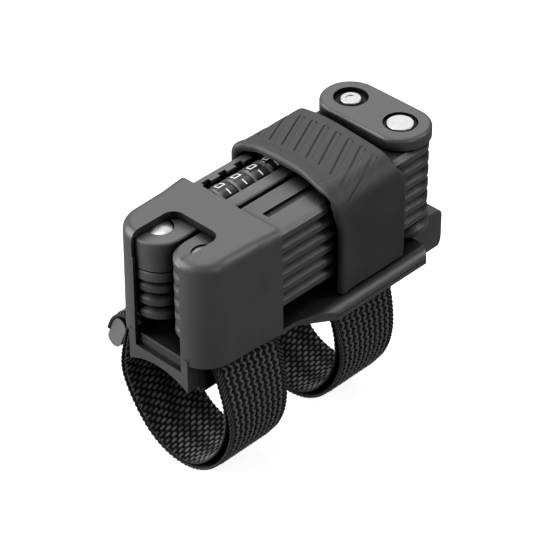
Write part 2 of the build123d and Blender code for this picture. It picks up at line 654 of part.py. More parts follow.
# ---------------------------------------------------------------- write every piece
LINKS = {
    "link_1": ("left", 2, "bottom", "top"),
    "link_2": ("left", 1, "top", "bottom"),
    "link_3": ("left", 0, "bottom", "top"),
    "link_4": ("right", 0, "bottom", "top"),
    "link_5": ("right", 1, "top", "bottom"),
    "link_6": ("right", 2, "bottom", "top"),
    "link_7": ("right", 3, "top", "bottom"),
    "link_8": ("right", 4, "bottom", "top"),
}
cores = {}
for name, layout in LINKS.items():
    cover, cores[name] = link(*layout)
    save(name, cover)
cover, cores["link_9"] = top_link()
save("link_9", cover)
cover, cores["crossover"] = crossover()
save("crossover_plate", cover)
cover, cores["end"] = end_plate()
save("end_plate", cover)

save("link_cores_1", cores["link_1"], cores["link_2"])
save("link_cores_2", cores["link_3"], cores["crossover"], cores["link_4"])
save("link_cores_3", cores["link_5"], cores["link_6"])
save("link_cores_4", cores["link_7"], cores["link_8"])
save("link_core_5", cores["link_9"])
save("end_plate_core", cores["end"])

save("case_rivet", case_rivet())
save("rivets_1", rivet(FAR_X, COL_Y, 1), rivet(NEAR_X, COL_Y, 0))
save("rivets_2", rivet(FAR_X, COL_Y, -1), rivet(FAR_X, -COL_Y, -1), rivet(NEAR_X, -COL_Y, 0))
save("rivets_3", rivet(FAR_X, -COL_Y, 1), rivet(NEAR_X, -COL_Y, 2))
save("rivets_4", rivet(FAR_X, -COL_Y, 3), rivet(NEAR_X, -COL_Y, 4, domed=True))
save("end_rivet", end_rivet())
save("locking_stud", stud())

save("lock_case_top", case_top())
save("lock_case_bottom", case_bottom())
save("case_screws", *[case_screw(x, y) for x, y in SCREW_SPOTS])
for index in range(DIAL_COUNT):
    save(f"dial_{index + 1}", dial(index))
edges_x = [dial_x(index) - DIAL_STEP / 2 for index in range(DIAL_COUNT + 1)]
save("dial_spacers", *[spacer(x) for x in edges_x])
save("dial_spindle", spindle())
save("detent_spring", detent_spring())
save("locking_bolt", locking_bolt())

save("holder_base", holder_base())
save("holder_cup", holder_cup())
save("cup_screws", cup_screw(-CUP_SCREW_Y), cup_screw(CUP_SCREW_Y))
save("saddle_pads", *[pad(x) for x in STRAP_X])
save("front_strap", strap(STRAP_X[0]))
save("rear_strap", strap(STRAP_X[1]))
save("front_strap_tab", strap_tab(STRAP_X[0]))
save("rear_strap_tab", strap_tab(STRAP_X[1]))
save("band_top", band_top())
save("band_left", band_left())
save("band_right", band_right())
save("band_pin", band_pin())
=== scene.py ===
"""Looks for the folding bike lock in its tube holder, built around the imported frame."""
import json
import math

import bpy
import numpy as np
from mathutils import Matrix, Vector


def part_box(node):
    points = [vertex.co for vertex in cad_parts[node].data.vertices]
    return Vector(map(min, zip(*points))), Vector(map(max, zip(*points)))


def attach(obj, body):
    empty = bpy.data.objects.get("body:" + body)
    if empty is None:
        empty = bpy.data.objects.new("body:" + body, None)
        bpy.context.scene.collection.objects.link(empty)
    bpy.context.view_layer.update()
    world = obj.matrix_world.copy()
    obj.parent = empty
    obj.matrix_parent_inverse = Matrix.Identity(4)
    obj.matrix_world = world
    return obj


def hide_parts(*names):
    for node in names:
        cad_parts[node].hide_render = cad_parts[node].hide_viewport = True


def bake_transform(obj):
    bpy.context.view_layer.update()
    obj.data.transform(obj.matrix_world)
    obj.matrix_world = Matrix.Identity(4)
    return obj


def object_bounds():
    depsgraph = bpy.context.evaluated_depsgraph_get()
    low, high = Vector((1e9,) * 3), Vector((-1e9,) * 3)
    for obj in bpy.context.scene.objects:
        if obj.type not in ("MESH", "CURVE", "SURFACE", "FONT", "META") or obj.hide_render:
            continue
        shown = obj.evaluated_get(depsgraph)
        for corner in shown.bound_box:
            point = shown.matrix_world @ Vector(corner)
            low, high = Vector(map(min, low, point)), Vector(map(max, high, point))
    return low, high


MM = 0.001

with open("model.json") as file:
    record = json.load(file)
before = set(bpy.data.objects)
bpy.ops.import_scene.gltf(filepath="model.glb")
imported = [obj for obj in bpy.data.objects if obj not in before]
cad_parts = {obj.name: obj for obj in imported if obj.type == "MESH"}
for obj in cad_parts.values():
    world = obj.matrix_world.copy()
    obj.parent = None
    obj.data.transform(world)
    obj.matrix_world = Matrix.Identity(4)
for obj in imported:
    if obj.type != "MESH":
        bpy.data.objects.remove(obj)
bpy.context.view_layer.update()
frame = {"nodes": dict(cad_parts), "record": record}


# ---------------------------------------------------------------- material building
class Graph:
    """A material and short calls that add nodes to it."""

    def __init__(self, name):
        self.material = bpy.data.materials.new(name)
        self.material.use_nodes = True
        self.tree = self.material.node_tree
        self.bsdf = self.tree.nodes["Principled BSDF"]

    def add(self, kind, inputs=None, output=0, **settings):
        node = self.tree.nodes.new(kind)
        for key, value in settings.items():
            setattr(node, key, value)
        for key, value in (inputs or {}).items():
            self.put(node, key, value)
        return node.outputs[output]

    def put(self, node, key, value):
        if isinstance(value, bpy.types.NodeSocket):
            self.tree.links.new(value, node.inputs[key])
        else:
            node.inputs[key].default_value = value

    def set(self, **values):
        for key, value in values.items():
            self.put(self.bsdf, key.replace("_", " "), value)

    def place(self):
        """Object coordinates, in metres."""
        return self.add("ShaderNodeTexCoord", output=3)

    def noise(self, scale, detail=3.0, rough=0.55, vector=None):
        inputs = {"Vector": vector or self.place(), "Scale": scale, "Detail": detail, "Roughness": rough}
        return self.add("ShaderNodeTexNoise", inputs)

    def spots(self, scale):
        return self.add("ShaderNodeTexVoronoi", {"Vector": self.place(), "Scale": scale})

    def math(self, operation, a, b):
        return self.add("ShaderNodeMath", {0: a, 1: b}, operation=operation)

    def remap(self, value, low, high, out_low=0.0, out_high=1.0):
        inputs = {"Value": value, "From Min": low, "From Max": high, "To Min": out_low, "To Max": out_high}
        return self.add("ShaderNodeMapRange", inputs)

    def mix(self, factor, a, b):
        node = self.tree.nodes.new("ShaderNodeMix")
        node.data_type = "RGBA"
        self.put(node, 0, factor)
        self.put(node, 6, a)
        self.put(node, 7, b)
        return node.outputs[2]

    def bump(self, height, distance, strength=1.0):
        return self.add("ShaderNodeBump", {"Height": height, "Distance": distance, "Strength": strength})

    def outside_edges(self, radius, low=0.02, high=0.22):
        """1 on outside edges, 0 on flat faces; drawn as wear and, on the mouldings, as painted highlight."""
        soft = self.add("ShaderNodeBevel", {"Radius": radius}, samples=4)
        true = self.add("ShaderNodeNewGeometry", output=1)
        dot = self.add("ShaderNodeVectorMath", {0: soft, 1: true}, output=1, operation="DOT_PRODUCT")
        return self.remap(self.math("SUBTRACT", 1.0, dot), low, high)


PAINTED_SHADE_REACH = (9.0, 0.3, 0.85)         # painted shade in hollows: reach in mm, then the open share that counts as dark and as clear
HOLDER_SHADE_REACH = (26.0, 0.5, 0.9)
LINK_SHADE_REACH = (4.5, 0.68, 0.96)


def painted_hollow_shade(g, distance, low=0.3, high=0.85):
    """Painted shade: 1 in the open, falling to 0 deep inside gaps and hollows."""
    open_sky = g.add("ShaderNodeAmbientOcclusion", {"Distance": distance * MM}, output=1, samples=4)
    return g.remap(open_sky, low, high)


def painted_underside_shade(g):
    """Painted shade: 1 on faces that look up or sideways, falling low on faces that look down."""
    normal = g.add("ShaderNodeNewGeometry", output=1)
    height = g.add("ShaderNodeSeparateXYZ", {0: normal}, output=2)
    return g.remap(height, -0.6, -0.1, 0.2, 1.0)


def grey(value, tint=(1.0, 1.0, 1.03)):
    """A grey of the given value, slightly cool unless told otherwise."""
    return (value * tint[0], value * tint[1], value * tint[2], 1.0)


def moulded_plastic(name, tone, roughness=0.4, grain=2600.0, depth=0.012, wear_and_highlight=0.5, shade_in_hollows=PAINTED_SHADE_REACH):
    """Grey moulding: fine spark grain, faint flow variation, edges painted paler with wear and painted
    highlight, and painted shade in hollows and on faces that look down.
    """
    g = Graph(name)
    flow = g.noise(45.0, 4.0)
    fine = g.noise(grain, 2.0, 0.7)
    pits = g.spots(grain * 0.7)
    colour = g.mix(g.remap(flow, 0.35, 0.65), grey(tone * 0.9), grey(tone * 1.1))
    speck = g.remap(fine, 0.55, 0.75)
    colour = g.mix(g.math("MULTIPLY", speck, 0.25), colour, grey(tone * 1.7))
    # Edges painted paler: wear, and painted highlight along the edges and chamfers.
    paler_edges = g.math("MULTIPLY", g.outside_edges(0.35 * MM), wear_and_highlight)
    colour = g.mix(paler_edges, colour, grey(tone * 2.1))
    # Painted shade: the colour falls to near black in hollows and on faces that look down.
    clear = g.math("MULTIPLY", painted_hollow_shade(g, *shade_in_hollows), painted_underside_shade(g))
    colour = g.mix(clear, grey(tone * 0.08), colour)
    surface = g.math("ADD", g.math("MULTIPLY", fine, 0.7), g.math("MULTIPLY", pits, 0.6))
    g.set(Base_Color=colour, Normal=g.bump(surface, depth * MM, 0.8), IOR=1.47)
    # Painted shade on the reflection as well, in hollows and on faces that look down.
    g.set(Specular_IOR_Level=g.math("MULTIPLY", clear, 0.55))
    base = g.remap(flow, 0.3, 0.7, roughness - 0.04, roughness + 0.05)
    g.set(Roughness=g.math("SUBTRACT", base, g.math("MULTIPLY", paler_edges, 0.1)))
    return g.material


def band_rubber():
    """Satin rubber with a fine skin, a little dust, a soft sheen and painted shade on its reflection in
    hollows.
    """
    g = Graph("band_rubber")
    skin = g.noise(1900.0, 3.0, 0.65)
    cloud = g.noise(55.0, 5.0)
    dust = g.remap(g.noise(320.0, 6.0, 0.7), 0.58, 0.8, 0.0, 0.3)
    colour = g.mix(g.remap(cloud, 0.35, 0.65), grey(0.016), grey(0.023))
    colour = g.mix(dust, colour, grey(0.045))
    g.set(Base_Color=colour, Roughness=g.remap(cloud, 0.3, 0.7, 0.5, 0.6), Normal=g.bump(skin, 0.01 * MM))
    g.set(Sheen_Weight=0.06, Sheen_Roughness=0.5, IOR=1.45)
    # Painted shade: the reflection is dimmed in hollows.
    g.set(Specular_IOR_Level=g.math("MULTIPLY", painted_hollow_shade(g, 6.0), 0.5))
    return g.material


def polished_steel(name, roughness, tone):
    """Bright metal with faint turning marks and hairline scratches."""
    g = Graph(name)
    scratch = g.add("ShaderNodeMapping", {"Vector": g.place(), "Scale": (240.0, 5200.0, 900.0)})
    lines = g.noise(1.0, 4.0, 0.7, scratch)
    cloud = g.noise(500.0, 3.0)
    colour = g.mix(g.remap(cloud, 0.35, 0.7), grey(tone, (1, 1, 1)), grey(tone * 0.9, (1, 0.99, 0.97)))
    g.set(Base_Color=colour, Metallic=1.0, Normal=g.bump(lines, 0.002 * MM, 0.5))
    g.set(Roughness=g.remap(lines, 0.3, 0.7, roughness - 0.05, roughness + 0.09))
    return g.material


def bare_steel():
    """Zinc-plated bar with mottled grain."""
    g = Graph("bare_steel")
    grain = g.noise(700.0, 5.0, 0.6)
    colour = g.mix(g.remap(grain, 0.35, 0.65), (0.30, 0.30, 0.31, 1), (0.46, 0.46, 0.45, 1))
    g.set(Base_Color=colour, Metallic=1.0, Roughness=g.remap(grain, 0.3, 0.7, 0.3, 0.45))
    g.set(Normal=g.bump(grain, 0.01 * MM))
    return g.material


def dial_black():
    """Black gloss moulding, a little paler on its worn edges."""
    g = Graph("dial_black")
    fine = g.noise(2400.0, 2.0)
    paler_edges = g.math("MULTIPLY", g.outside_edges(0.2 * MM), 0.5)
    colour = g.mix(paler_edges, grey(0.012), grey(0.09))
    g.set(Base_Color=colour, Roughness=g.remap(fine, 0.3, 0.7, 0.26, 0.36), Normal=g.bump(fine, 0.006 * MM))
    return g.material


def spacer_grey():
    """Dull grey dividers between the dials."""
    g = Graph("spacer_grey")
    fine = g.noise(1500.0, 3.0)
    colour = g.mix(g.remap(fine, 0.3, 0.7), grey(0.09), grey(0.13))
    g.set(Base_Color=colour, Roughness=0.36, Metallic=0.3, Normal=g.bump(fine, 0.005 * MM))
    return g.material


def number_paint():
    """Off-white paint with a slight unevenness."""
    g = Graph("number_paint")
    fine = g.noise(3000.0, 3.0)
    colour = g.mix(g.remap(fine, 0.45, 0.75), (0.86, 0.86, 0.86, 1), (0.7, 0.7, 0.7, 1))
    g.set(Base_Color=colour, Roughness=0.5, Normal=g.bump(fine, 0.006 * MM))
    return g.material


def webbing_black():
    """Black polyester: the mesh holds the stitches, the nodes add yarn, fuzz, painted highlight on the
    stitch tops and painted shade in the valleys and hollows.
    """
    g = Graph("webbing_black")
    height = g.add("ShaderNodeAttribute", attribute_name="pile", output=2)
    place = g.add("ShaderNodeUVMap", uv_map="cloth")
    turned = {"Vector": place, "Scale": (2.6, 0.7, 1.0), "Rotation": (0, 0, 0.55)}
    wave = {"Vector": g.add("ShaderNodeMapping", turned), "Scale": 0.62}
    wave.update({"Distortion": 2.2, "Detail": 3.0, "Detail Scale": 2.0})
    yarn = g.add("ShaderNodeTexWave", wave, output=1)
    fuzz = g.noise(2800.0, 6.0, 0.75)
    # Painted light: the colour is lighter on stitch tops and near black in valleys and hollows.
    lit = g.math("MULTIPLY", g.remap(height, 0.25, 0.9), g.remap(fuzz, 0.25, 0.7, 0.4, 1.1))
    lit = g.math("MULTIPLY", lit, painted_hollow_shade(g, 14.0, 0.2, 0.8))
    colour = g.mix(lit, grey(0.008), grey(0.21))
    colour = g.mix(g.math("MULTIPLY", g.remap(yarn, 0.55, 0.95), 0.12), colour, grey(0.04))
    surface = g.math("ADD", g.math("MULTIPLY", yarn, 0.6), fuzz)
    g.set(Base_Color=colour, Roughness=0.72, Normal=g.bump(surface, 0.09 * MM, 0.9))
    # Painted light: sheen and reflection follow the same lit mask.
    g.set(Sheen_Weight=g.math("MULTIPLY", lit, 0.35), Sheen_Roughness=0.45)
    g.set(Specular_IOR_Level=g.math("MULTIPLY", lit, 0.5))
    return g.material


MATERIALS = {
    "holder_plastic": moulded_plastic("holder_charcoal", 0.049, shade_in_hollows=HOLDER_SHADE_REACH),
    "link_plastic": moulded_plastic("link_charcoal", 0.05, grain=2200.0, depth=0.014, wear_and_highlight=0.9,
                                    shade_in_hollows=LINK_SHADE_REACH),
    "case_plastic": moulded_plastic("case_charcoal", 0.07, roughness=0.42),
    "tab_plastic": moulded_plastic("tab_grey", 0.13, roughness=0.5, grain=1800.0, depth=0.01, wear_and_highlight=0.2),
    "pad_rubber": moulded_plastic("pad_black", 0.02, roughness=0.7, grain=900.0, depth=0.03, wear_and_highlight=0.1),
    "core_steel": bare_steel(),
    "screw_steel": polished_steel("plated_steel", roughness=0.34, tone=0.36),
    "rivet_steel": polished_steel("polished_steel", roughness=0.36, tone=0.46),
    "dial_plastic": dial_black(),
    "spacer_metal": spacer_grey(),
    "band_rubber": band_rubber(),
    "webbing": webbing_black(),
    "numbers": number_paint(),
}


# ---------------------------------------------------------------- mesh building
def mesh_piece(name, points, faces, slot, smooth_angle):
    """A new mesh in metres, smooth except where faces meet at more than smooth_angle degrees."""
    mesh = bpy.data.meshes.new(name)
    mesh.from_pydata([tuple(p) for p in points], [], faces)
    mesh.update()
    obj = bpy.data.objects.new(name, mesh)
    bpy.context.scene.collection.objects.link(obj)
    obj.data.materials.append(MATERIALS[slot])
    mesh.shade_smooth()
    mesh.set_sharp_from_angle(angle=math.radians(smooth_angle))
    return obj


def grid_faces(rows, columns):
    """Quads between closed rings of points, stored ring by ring, and a cap on each end ring."""
    faces = []
    for i in range(rows - 1):
        here = i * columns
        below = here + columns
        for j in range(columns):
            k = (j + 1) % columns
            faces.append((here + j, here + k, below + k, below + j))
    faces.append(tuple(reversed(range(columns))))
    faces.append(tuple(range((rows - 1) * columns, rows * columns)))
    return faces


def smoothstep(value, low, high):
    """0 below low, 1 above high and an even ease between."""
    t = np.clip((value - low) / (high - low), 0, 1)
    return t * t * (3 - 2 * t)


def arc(centre, radius, start, end, step):
    """Points of an arc in the Y-Z plane, angles in degrees."""
    count = max(2, int(abs(math.radians(end - start)) * radius / step))
    angles = np.radians(np.linspace(start, end, count, endpoint=False))
    return np.stack([centre[0] + radius * np.cos(angles), centre[1] + radius * np.sin(angles)], 1)


def line(start, end, step):
    """Points of a straight run, without its last point."""
    length = math.dist(start, end)
    count = max(1, int(length / step))
    t = np.linspace(0, 1, count, endpoint=False)[:, None]
    return np.array(start) * (1 - t) + np.array(end) * t


def resample(path, step):
    """Evenly spaced points, their outward normals and their arc length."""
    gaps = np.hypot(*np.diff(path, axis=0).T)
    length = np.concatenate([[0], np.cumsum(gaps)])
    where = np.linspace(0, length[-1], int(length[-1] / step) + 1)
    points = np.stack([np.interp(where, length, path[:, k]) for k in (0, 1)], 1)
    tangent = np.gradient(points, where, axis=0)
    tangent /= np.hypot(*tangent.T)[:, None]
    normal = np.stack([tangent[:, 1], -tangent[:, 0]], 1)
    return points, normal, where


# ---------------------------------------------------------------- frame nodes
BEVELS = {"holder_cup": 0.7, "holder_base": 0.35, "lock_case_top": 0.18, "lock_case_bottom": 0.15}
LINK_BEVEL = 0.16
BEVEL_ANGLE = 28.0       # edges sharper than this are softened


def dress_nodes():
    """Gives each frame node its material, smooth shading and softened edges."""
    slots = {part["node"]: part["material_slot"] for part in frame["record"]["subparts"]}
    for name, obj in frame["nodes"].items():
        obj.data.materials.clear()
        obj.data.materials.append(MATERIALS[slots[name]])
        obj.data.shade_smooth()
        width = BEVELS.get(name, 0.0)
        if name.startswith("link_") and "core" not in name or name.endswith("_plate"):
            width = LINK_BEVEL
        if width:
            bevel = obj.modifiers.new("soft_edges", "BEVEL")
            bevel.width = width * MM
            bevel.segments = 3
            bevel.limit_method = "ANGLE"
            bevel.angle_limit = math.radians(BEVEL_ANGLE)
        smooth = obj.modifiers.new("smooth_by_angle", "WEIGHTED_NORMAL")
        smooth.keep_sharp = True


# ---------------------------------------------------------------- straps
HUG = 46.0               # half angle of the arc that hugs the tube, in degrees
SHOULDER = (21.6, 23.0)  # where a strap turns in under the base
STRAP_T = 2.4            # of the CAD loop, which holds both layers
CORNER_RUN = 3.4         # of the turn from the shoulder to the flat lid
LID_END = 13.5           # where the lid stops under the base
PATH_STEP = 0.33
CURVE_STEP = 0.3
CORNER_STEP = 0.2
OUTER_LIFT = 0.5         # from the path to the underside of the outer layer
OUTER_T = 0.8
INNER_LIFT = -0.85
INNER_T = 0.7
NEAR_GAP = 1.5           # between the layers where they hang apart, toward -Y and toward +Y
FAR_GAP = 0.5
TUCK = 2.4               # sideways sets of the loose loop
BULGE = 1.5
FOLD_T = 1.1
PATTERN_POINTS = 121     # across a patterned face, and the two counts for a plain face and an edge
PLAIN_POINTS = 13
EDGE_POINTS = 3
# PLAIN_PILE only sets the painted light level of plain faces.
PLAIN_PILE = 0.35
SMOOTH_ALL = 180.0


def tangent_arc(start, direction, end, step):
    """Arc that leaves start along direction and ends at end, with its direction there."""
    chord = np.array(end) - np.array(start)
    tangent = np.array(direction) / np.hypot(*direction)
    side = np.array([-tangent[1], tangent[0]])
    radius = chord @ chord / (2 * chord @ side)
    centre = np.array(start) + side * radius
    first = math.atan2(start[1] - centre[1], start[0] - centre[0])
    last = math.atan2(end[1] - centre[1], end[0] - centre[0])
    while last < first:
        last += 2 * math.pi
    points = arc(centre, abs(radius), math.degrees(first), math.degrees(last), step)
    leave = (-math.sin(last), math.cos(last))
    return points, leave


def strap_path(node):
    """Y-Z line along the middle of the CAD loop, from one slot under the base to the other."""
    low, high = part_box(node)
    half = high.y / MM - STRAP_T / 2
    radius = -low.z / MM - STRAP_T / 2
    top = high.z / MM - STRAP_T / 2
    turn = math.radians(HUG)
    foot = (radius * math.sin(turn), -radius * math.cos(turn))
    side_r = (half - foot[0]) / (1 - math.sin(turn))
    side = (half, foot[1] + side_r * math.cos(turn))
    shoulder = (SHOULDER[0] - STRAP_T / 2, SHOULDER[1])
    lid_start = (shoulder[0] - CORNER_RUN, top)
    lid_end = (LID_END, top)
    hug = arc((0, 0), radius, -90, -90 + HUG, CURVE_STEP)
    flare, _ = tangent_arc(foot, (math.cos(turn), math.sin(turn)), side, CURVE_STEP)
    close, lean = tangent_arc(side, (0, 1), shoulder, CURVE_STEP)
    corner, _ = tangent_arc(shoulder, lean, lid_start, CORNER_STEP)
    lid = line(lid_start, lid_end, CURVE_STEP)
    right = np.concatenate([hug, flare, close, corner, lid, np.array([lid_end])])
    left = right[::-1] * [-1, 1]
    points, normal, where = resample(np.concatenate([left[:-1], right])[::-1], PATH_STEP)
    return points, -normal, where


def loop_shift(t, y, z):
    """Sideways set of a loose loop: t is 0 at the -X edge of the strap and 1 at the other."""
    tuck = TUCK * (1 - t) * smoothstep(z, 2.0, 22.0) * (y < 0)
    bulge = BULGE * (1 - 0.6 * t) * np.exp(-((z - 3.0) / 9.0) ** 2) * (y > 0)
    return tuck + bulge


RIB_PITCH = 2.35         # across the strap
RIB_WAVE = 2.7           # along the strap
RIB_SWING = 0.42
RIB_REACH = 0.88         # from a rib's middle to its foot
RIB_HALF = 10.4          # half width of the ribbed field; twill runs outside it
LOOP_ROW = 1.5
LOOP_PERIOD = 3.3
LOOP_SLANT = 0.16


def chain_ribs(x, s):
    """Height from 0 to 1 of the knitted ribs on a strap's outside."""
    lane = np.floor(x / RIB_PITCH + 0.5)
    phase = 2 * np.pi * s / RIB_WAVE + 0.7 * lane + 0.5 * np.sin(s / 3.1 + lane)
    swing = RIB_SWING * np.sin(phase)
    off = np.abs(x - lane * RIB_PITCH - swing)
    rib = np.clip(1 - off / RIB_REACH, 0, 1) ** 0.85
    knots = 0.76 + 0.24 * np.cos(2 * phase)
    rungs = 0.34 * (0.5 + 0.5 * np.sin(2 * phase + 0.9))
    body = np.maximum(rib * knots, rungs)
    twill = 0.6 * (0.5 + 0.5 * np.sin(2 * np.pi * (s + 1.1 * np.abs(x)) / 1.35))
    border = np.clip((np.abs(x) - RIB_HALF) / 0.5, 0, 1)
    return body * (1 - border) + twill * border


def loop_pile(x, s):
    """Height from 0 to 1 of the slanted loops on a strap's inside."""
    across = s + LOOP_SLANT * x
    row = np.floor(across / LOOP_ROW)
    off = np.abs(across - (row + 0.5) * LOOP_ROW)
    along = x + 1.7 * row + 0.6 * np.sin(row * 12.99)
    dash = np.abs(np.mod(along, LOOP_PERIOD) - LOOP_PERIOD / 2)
    tall = 0.8 + 0.2 * np.sin(7.3 * row + 4.1 * np.floor(along / LOOP_PERIOD))
    return tall * np.clip(1 - off / 0.74, 0, 1) ** 0.7 * np.clip(1.6 - dash / 1.0, 0, 1) ** 0.8


def webbing_strip(name, span, path, lift, thick, outside=None, inside=None, shift=None):
    """A closed strip of webbing swept along a Y-Z line, with its stitches in the mesh."""
    middle, half = span
    points, normal, where = path
    outer_count = PATTERN_POINTS if outside else PLAIN_POINTS
    inner_count = PATTERN_POINTS if inside else PLAIN_POINTS
    turn = np.linspace(0, np.pi, EDGE_POINTS + 2)[1:-1]
    edge = thick / 2 * np.sin(turn)
    edge_h = thick / 2 * (1 + np.cos(turn))
    x = np.concatenate([np.linspace(-half, half, outer_count), half + edge,
                        np.linspace(half, -half, inner_count), -half - edge[::-1]])
    base = np.concatenate([np.full(outer_count, thick), edge_h, np.zeros(inner_count), edge_h[::-1]])
    s = where[:, None]
    grid_x = np.tile(x, (len(where), 1))
    height = base + np.broadcast_to(np.reshape(lift, (-1, 1)), (len(where), 1))
    pile = np.full(grid_x.shape, PLAIN_PILE)
    if outside:
        face = slice(0, outer_count)
        pile[:, face] = outside(grid_x[:, face], s)
        height[:, face] += 0.75 * pile[:, face] - 0.35
    if inside:
        first = outer_count + EDGE_POINTS
        face = slice(first, first + inner_count)
        pile[:, face] = inside(grid_x[:, face], s)
        height[:, face] += 0.1 - 0.45 * pile[:, face]
    selvedge = np.abs(grid_x) > half - 0.01
    grid_x += selvedge * np.sign(grid_x) * 0.16 * np.sin(2 * np.pi * s / 1.7)
    y = points[:, :1] + normal[:, :1] * height
    z = points[:, 1:] + normal[:, 1:] * height
    if shift:
        t = np.clip((grid_x + half) / (2 * half), 0, 1)
        y = y + shift(t, points[:, :1], points[:, 1:])
    co = np.stack([middle + grid_x, y, z], -1).reshape(-1, 3) * MM
    obj = mesh_piece(name, co, grid_faces(len(where), len(x)), "webbing", SMOOTH_ALL)
    attribute = obj.data.attributes.new("pile", "FLOAT", "POINT")
    attribute.data.foreach_set("value", pile.astype(np.float32).ravel())
    add_cloth_uv(obj, grid_x, where)
    return obj


def x_span(node):
    """Middle and half width of a frame node along X, in millimetres."""
    low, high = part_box(node)
    return (low.x + high.x) / 2 / MM, (high.x - low.x) / 2 / MM


def add_cloth_uv(obj, grid_x, where):
    """UV in millimetres: across the strap and along it."""
    uv = np.stack([grid_x.ravel(), np.repeat(where, grid_x.shape[1])], 1)
    layer = obj.data.uv_layers.new(name="cloth")
    corners = np.zeros(len(obj.data.loops), np.int64)
    obj.data.loops.foreach_get("vertex_index", corners)
    layer.data.foreach_set("uv", uv[corners].astype(np.float32).ravel())


def tab_fold(tab_node):
    """Flap of webbing that runs from under the base over a tab's rounded top."""
    low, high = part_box(tab_node)
    top = high.z / MM
    inner = low.y / MM
    knots = np.array([(inner - 3.0, top + 2.2), (inner + 0.8, top + 1.9), (inner + 3.4, top + 0.5),
                      (inner + 5.6, top - 2.0), (inner + 7.0, top - 5.2), (inner + 7.3, top - 6.3)])
    gaps = np.concatenate([[0], np.cumsum(np.hypot(*np.diff(knots, axis=0).T))])
    fine = np.linspace(0, gaps[-1], 60)
    path = np.stack([np.interp(fine, gaps, knots[:, k]) for k in (0, 1)], 1)
    for _ in range(12):
        path[1:-1] = (path[:-2] + 2 * path[1:-1] + path[2:]) / 4
    points, normal, where = resample(path, 0.25)
    middle, half = x_span(tab_node)
    path = (points, -normal, where)
    fold = webbing_strip(tab_node + "_fold", (middle, half), path, 0.0, FOLD_T, chain_ribs)
    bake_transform(fold)


def layer_gap(points):
    """How far the inner layer hangs away from the outer one along the loop."""
    y, z = points[:, 0], points[:, 1]
    near = NEAR_GAP * smoothstep(-y, 2.0, 18.0) * smoothstep(-z, -16.0, 2.0)
    far = FAR_GAP * smoothstep(y, 6.0, 18.0) * smoothstep(-z, -14.0, 2.0)
    return near + far


def build_straps():
    """Two layers of webbing and a fold over the tab, for each strap."""
    for name in ("front", "rear"):
        node = name + "_strap"
        span = x_span(node)
        path = strap_path(node)
        inner_lift = INNER_LIFT - layer_gap(path[0])
        inner = webbing_strip(node + "_inner", span, path, inner_lift, INNER_T, None, loop_pile, loop_shift)
        outer = webbing_strip(node + "_outer", span, path, OUTER_LIFT, OUTER_T, chain_ribs, None, loop_shift)
        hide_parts(node)
        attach(inner, "holder")
        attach(outer, "holder")
        tab_fold(node + "_tab")


# ---------------------------------------------------------------- rubber band
BAND_T = 2.95            # of a leg
BAND_LEG_GAP = 0.6       # from the CAD leg's foot up to the visible one
INNER_TOP = 64.45        # heights at the shoulders, inside and outside
OUTER_TOP = 68.2
INNER_CROWN = 0.25
OUTER_CROWN = 1.2
INNER_CORNER = 2.0
LEFT_CORNER = 5.0
RIGHT_CORNER = 8.0
FRONT_X = 12.6           # of the band's front and back edges over the crown
BACK_X = 39.4
BACK_FLARE = 4.0         # the right leg widens toward its foot
LIP_LIFT = 1.6           # the front lip stands off the lock by this
SKIN_SWELL = 0.5         # extra thickness along the rounded front lip
BAND_SMOOTH = 60.0
GROOVE_TURN = 0.49       # how far a groove drifts toward +Y for each step along X
GROOVE_STEP = 5.25
GROOVE_START = 18.3
GROOVE_STOP = 36.0
GROOVE_MIDDLE = 2.2      # place of groove number 0 over the band
GROOVE_DEEP = 0.45
LEG_ROWS = 90
CORNER_ROWS = 40
TOP_ROWS = 230
OUTER_POINTS = 171       # round a cross-section: outer skin, inner skin and rounded edges
INNER_POINTS = 60
LIP_POINTS = 11


def band_side(half, shoulder_z, corner, foot):
    """Y-Z line up one leg and round its corner, drawn on the +Y side."""
    turn = np.linspace(0, np.pi / 2, CORNER_ROWS, endpoint=False)
    leg = np.linspace(foot, shoulder_z - corner, LEG_ROWS, endpoint=False)
    straight = np.stack([np.full(LEG_ROWS, half), leg], 1)
    bend_y = half - corner + corner * np.cos(turn)
    bend_z = shoulder_z - corner + corner * np.sin(turn)
    return np.concatenate([straight, np.stack([bend_y, bend_z], 1)])


def band_line(half, shoulder_z, crown, corners, foot):
    """Y-Z line over the stack: left leg, rounded corner, crowned top, corner, right leg."""
    left_corner, right_corner = corners
    y = np.linspace(half - left_corner, right_corner - half, TOP_ROWS)
    swell = np.sin(np.pi * np.linspace(0, 1, TOP_ROWS)) ** 0.8
    top = np.stack([y, shoulder_z + crown * swell], 1)
    left = band_side(half, shoulder_z, left_corner, foot)
    right = band_side(half, shoulder_z, right_corner, foot)[::-1] * [-1, 1]
    return np.concatenate([left, top, right])


